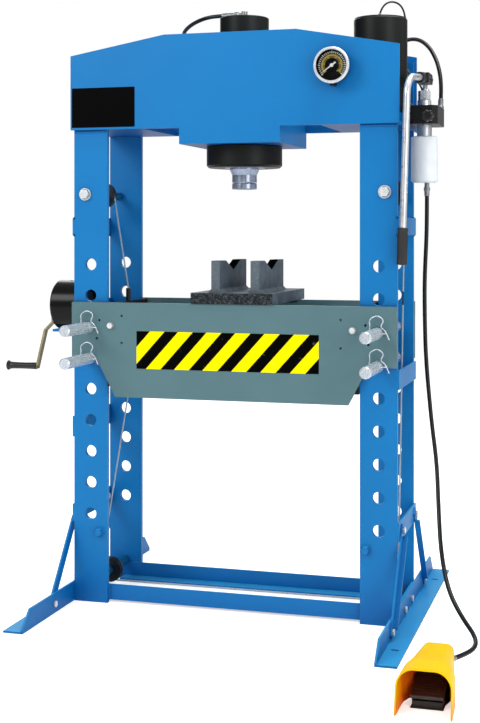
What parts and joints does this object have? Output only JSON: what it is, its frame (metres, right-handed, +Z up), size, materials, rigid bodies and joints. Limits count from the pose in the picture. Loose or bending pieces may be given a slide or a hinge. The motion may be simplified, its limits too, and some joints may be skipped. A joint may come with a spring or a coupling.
{
  "type": "hydraulic workshop press",
  "caption": "Floor-standing H-frame hydraulic press: pinned height-adjustable bed on a hand winch, side pump with lever, air foot valve, pressure gauge and V blocks.",
  "frame": {"origin": "on the floor, at the centre of the four anchor slots in the feet", "axes": "+Z up, -Y towards the user in front of the press, +X to the right seen from the front"},
  "size_m": [1.6245, 1.382, 1.916],
  "materials": {
    "frame_paint": "smooth blue enamel",
    "bed_paint": "grey-green hammered enamel",
    "block_paint": "dark slate enamel",
    "black_paint": "black powder coat",
    "zinc_steel": "bright zinc plate",
    "pin_steel": "turned steel",
    "ram_steel": "ground steel",
    "wire_rope": "galvanised strands",
    "crank_steel": "olive zinc",
    "pump_alloy": "cast and machined",
    "motor_shell": "satin white",
    "lever_chrome": "polished",
    "black_rubber": "moulded",
    "hose_rubber": "smooth cover",
    "black_plastic": "moulded",
    "guard_plastic": "moulded yellow",
    "treadle_paint": "ribbed black",
    "bezel_chrome": "polished ring",
    "clear_glass": "clear",
    "needle_white": "thin white paint",
    "gear_steel": "machined"
  },
  "bodies": {
    "frame": {"air_hose": "hose_rubber", "air_motor": "motor_shell", "beam_front_plate": "frame_paint", "beam_inner_plates": "frame_paint", "beam_rear_plate": "frame_paint", "bed_end_plates": "black_paint", "bed_front_plate": "bed_paint", "bed_rear_plate": "bed_paint", "crossbars": "frame_paint", "cylinder_barrel": "black_paint", "cylinder_collar": "black_paint", "feet": "frame_paint", "foot_braces": "frame_paint", "gauge_bezel": "bezel_chrome", "gauge_case": "black_paint", "gauge_glass": "clear_glass", "guide_bush": "ram_steel", "hose_fittings": "zinc_steel", "levelling_cable": "wire_rope", "machine_bolts": "zinc_steel", "oil_tank": "black_paint", "pedal_guard": "guard_plastic", "pedal_valve": "black_plastic", "pressure_hose": "hose_rubber", "pulley_axles": "zinc_steel", "pump_block": "pump_alloy", "pump_gland_and_post": "pump_alloy", "pump_mounting_plate": "frame_paint", "return_hose": "hose_rubber", "side_straps": "frame_paint", "tank_bracket": "frame_paint", "upright_front_left": "frame_paint", "upright_front_right": "frame_paint", "upright_rear_left": "frame_paint", "upright_rear_right": "frame_paint", "vee_blocks": "block_paint", "winch_bracket": "frame_paint", "winch_cable": "wire_rope", "winch_cover": "black_paint"},
    "ram": {"ram": "ram_steel", "piston": "ram_steel"},
    "gauge_needle": {"gauge_needle": "needle_white"},
    "release_knob": {"release_knob": "black_plastic"},
    "pump_lever": {"lever_socket": "zinc_steel", "pump_handle": "lever_chrome", "handle_grip": "black_rubber"},
    "pump_plunger": {"pump_plunger": "ram_steel"},
    "pin_upper_left": {"bed_pin_upper_left": "pin_steel"},
    "pin_upper_right": {"bed_pin_upper_right": "pin_steel"},
    "pin_lower_left": {"bed_pin_lower_left": "pin_steel"},
    "pin_lower_right": {"bed_pin_lower_right": "pin_steel"},
    "crank": {"winch_crank": "crank_steel", "winch_pinion": "gear_steel"},
    "crank_grip": {"winch_grip": "black_plastic"},
    "drum": {"winch_drum": "gear_steel"},
    "wheel_upper_left": {"pulley_upper_left": "gear_steel"},
    "wheel_upper_right": {"pulley_upper_right": "gear_steel"},
    "wheel_lower_left": {"pulley_lower_left": "gear_steel"},
    "wheel_lower_right": {"pulley_lower_right": "gear_steel"},
    "treadle": {"pedal_treadle": "treadle_paint"}
  },
  "joints": [
    {"name": "ram_slide", "type": "slide", "parent": "frame", "child": "ram", "axis": [0, 0, -1], "range_m": [0, 0.22]},
    {"name": "gauge_needle_turn", "type": "hinge", "parent": "frame", "child": "gauge_needle", "pos_m": [0.337, -0.2135, 1.689], "axis": [0, 1, 0], "range_deg": [0, 270], "stiffness_Nm_per_rad": 0.002, "springref_deg": -28.65},
    {"name": "release_knob_turn", "type": "hinge", "parent": "frame", "child": "release_knob", "pos_m": [0.608, -0.088, 1.541], "axis": [0, 1, 0], "range_deg": [0, 270]},
    {"name": "pump_lever_swing", "type": "hinge", "parent": "frame", "child": "pump_lever", "pos_m": [0.584, 0.034, 1.664], "axis": [-1, 0, 0], "range_deg": [0, 45]},
    {"name": "pump_plunger_slide", "type": "slide", "parent": "frame", "child": "pump_plunger", "axis": [0, 0, 1], "range_m": [0, 0.0268]},
    {"name": "pin_upper_left_slide", "type": "slide", "parent": "frame", "child": "pin_upper_left", "axis": [0, -1, 0], "range_m": [0, 0.34]},
    {"name": "pin_upper_right_slide", "type": "slide", "parent": "frame", "child": "pin_upper_right", "axis": [0, -1, 0], "range_m": [0, 0.34]},
    {"name": "pin_lower_left_slide", "type": "slide", "parent": "frame", "child": "pin_lower_left", "axis": [0, -1, 0], "range_m": [0, 0.34]},
    {"name": "pin_lower_right_slide", "type": "slide", "parent": "frame", "child": "pin_lower_right", "axis": [0, -1, 0], "range_m": [0, 0.34]},
    {"name": "winch_crank_turn", "type": "hinge", "parent": "frame", "child": "crank", "pos_m": [-0.664, -0.005, 0.89493], "axis": [1, 0, 0], "continuous": true},
    {"name": "crank_grip_spin", "type": "hinge", "parent": "crank", "child": "crank_grip", "pos_m": [-0.763, -0.04371, 0.73968], "axis": [1, 0, 0], "continuous": true},
    {"name": "winch_drum_turn", "type": "hinge", "parent": "frame", "child": "drum", "pos_m": [-0.577, 0.02265, 0.945], "axis": [1, 0, 0], "continuous": true},
    {"name": "wheel_upper_left_turn", "type": "hinge", "parent": "frame", "child": "wheel_upper_left", "pos_m": [-0.488, 0, 1.309], "axis": [0, 1, 0], "continuous": true},
    {"name": "wheel_upper_right_turn", "type": "hinge", "parent": "frame", "child": "wheel_upper_right", "pos_m": [0.488, 0, 1.309], "axis": [0, 1, 0], "continuous": true},
    {"name": "wheel_lower_left_turn", "type": "hinge", "parent": "frame", "child": "wheel_lower_left", "pos_m": [-0.466, 0, 0.066], "axis": [0, 1, 0], "continuous": true},
    {"name": "wheel_lower_right_turn", "type": "hinge", "parent": "frame", "child": "wheel_lower_right", "pos_m": [0.466, 0, 0.066], "axis": [0, 1, 0], "continuous": true},
    {"name": "treadle_press", "type": "hinge", "parent": "frame", "child": "treadle", "pos_m": [0.713, -0.684, 0.048], "axis": [1, 0, 0], "range_deg": [0, 5], "stiffness_Nm_per_rad": 2, "springref_deg": -8.59}
  ],
  "couplings": [
    {"joint": "pump_plunger_slide", "follows": "pump_lever_swing", "m_per_rad": 0.034},
    {"joint": "winch_drum_turn", "follows": "winch_crank_turn", "ratio": -0.3},
    {"joint": "wheel_upper_left_turn", "follows": "winch_crank_turn", "ratio": 0.19414},
    {"joint": "wheel_upper_right_turn", "follows": "winch_crank_turn", "ratio": -0.19414},
    {"joint": "wheel_lower_left_turn", "follows": "winch_crank_turn", "ratio": -0.19414},
    {"joint": "wheel_lower_right_turn", "follows": "winch_crank_turn", "ratio": -0.19414}
  ]
}
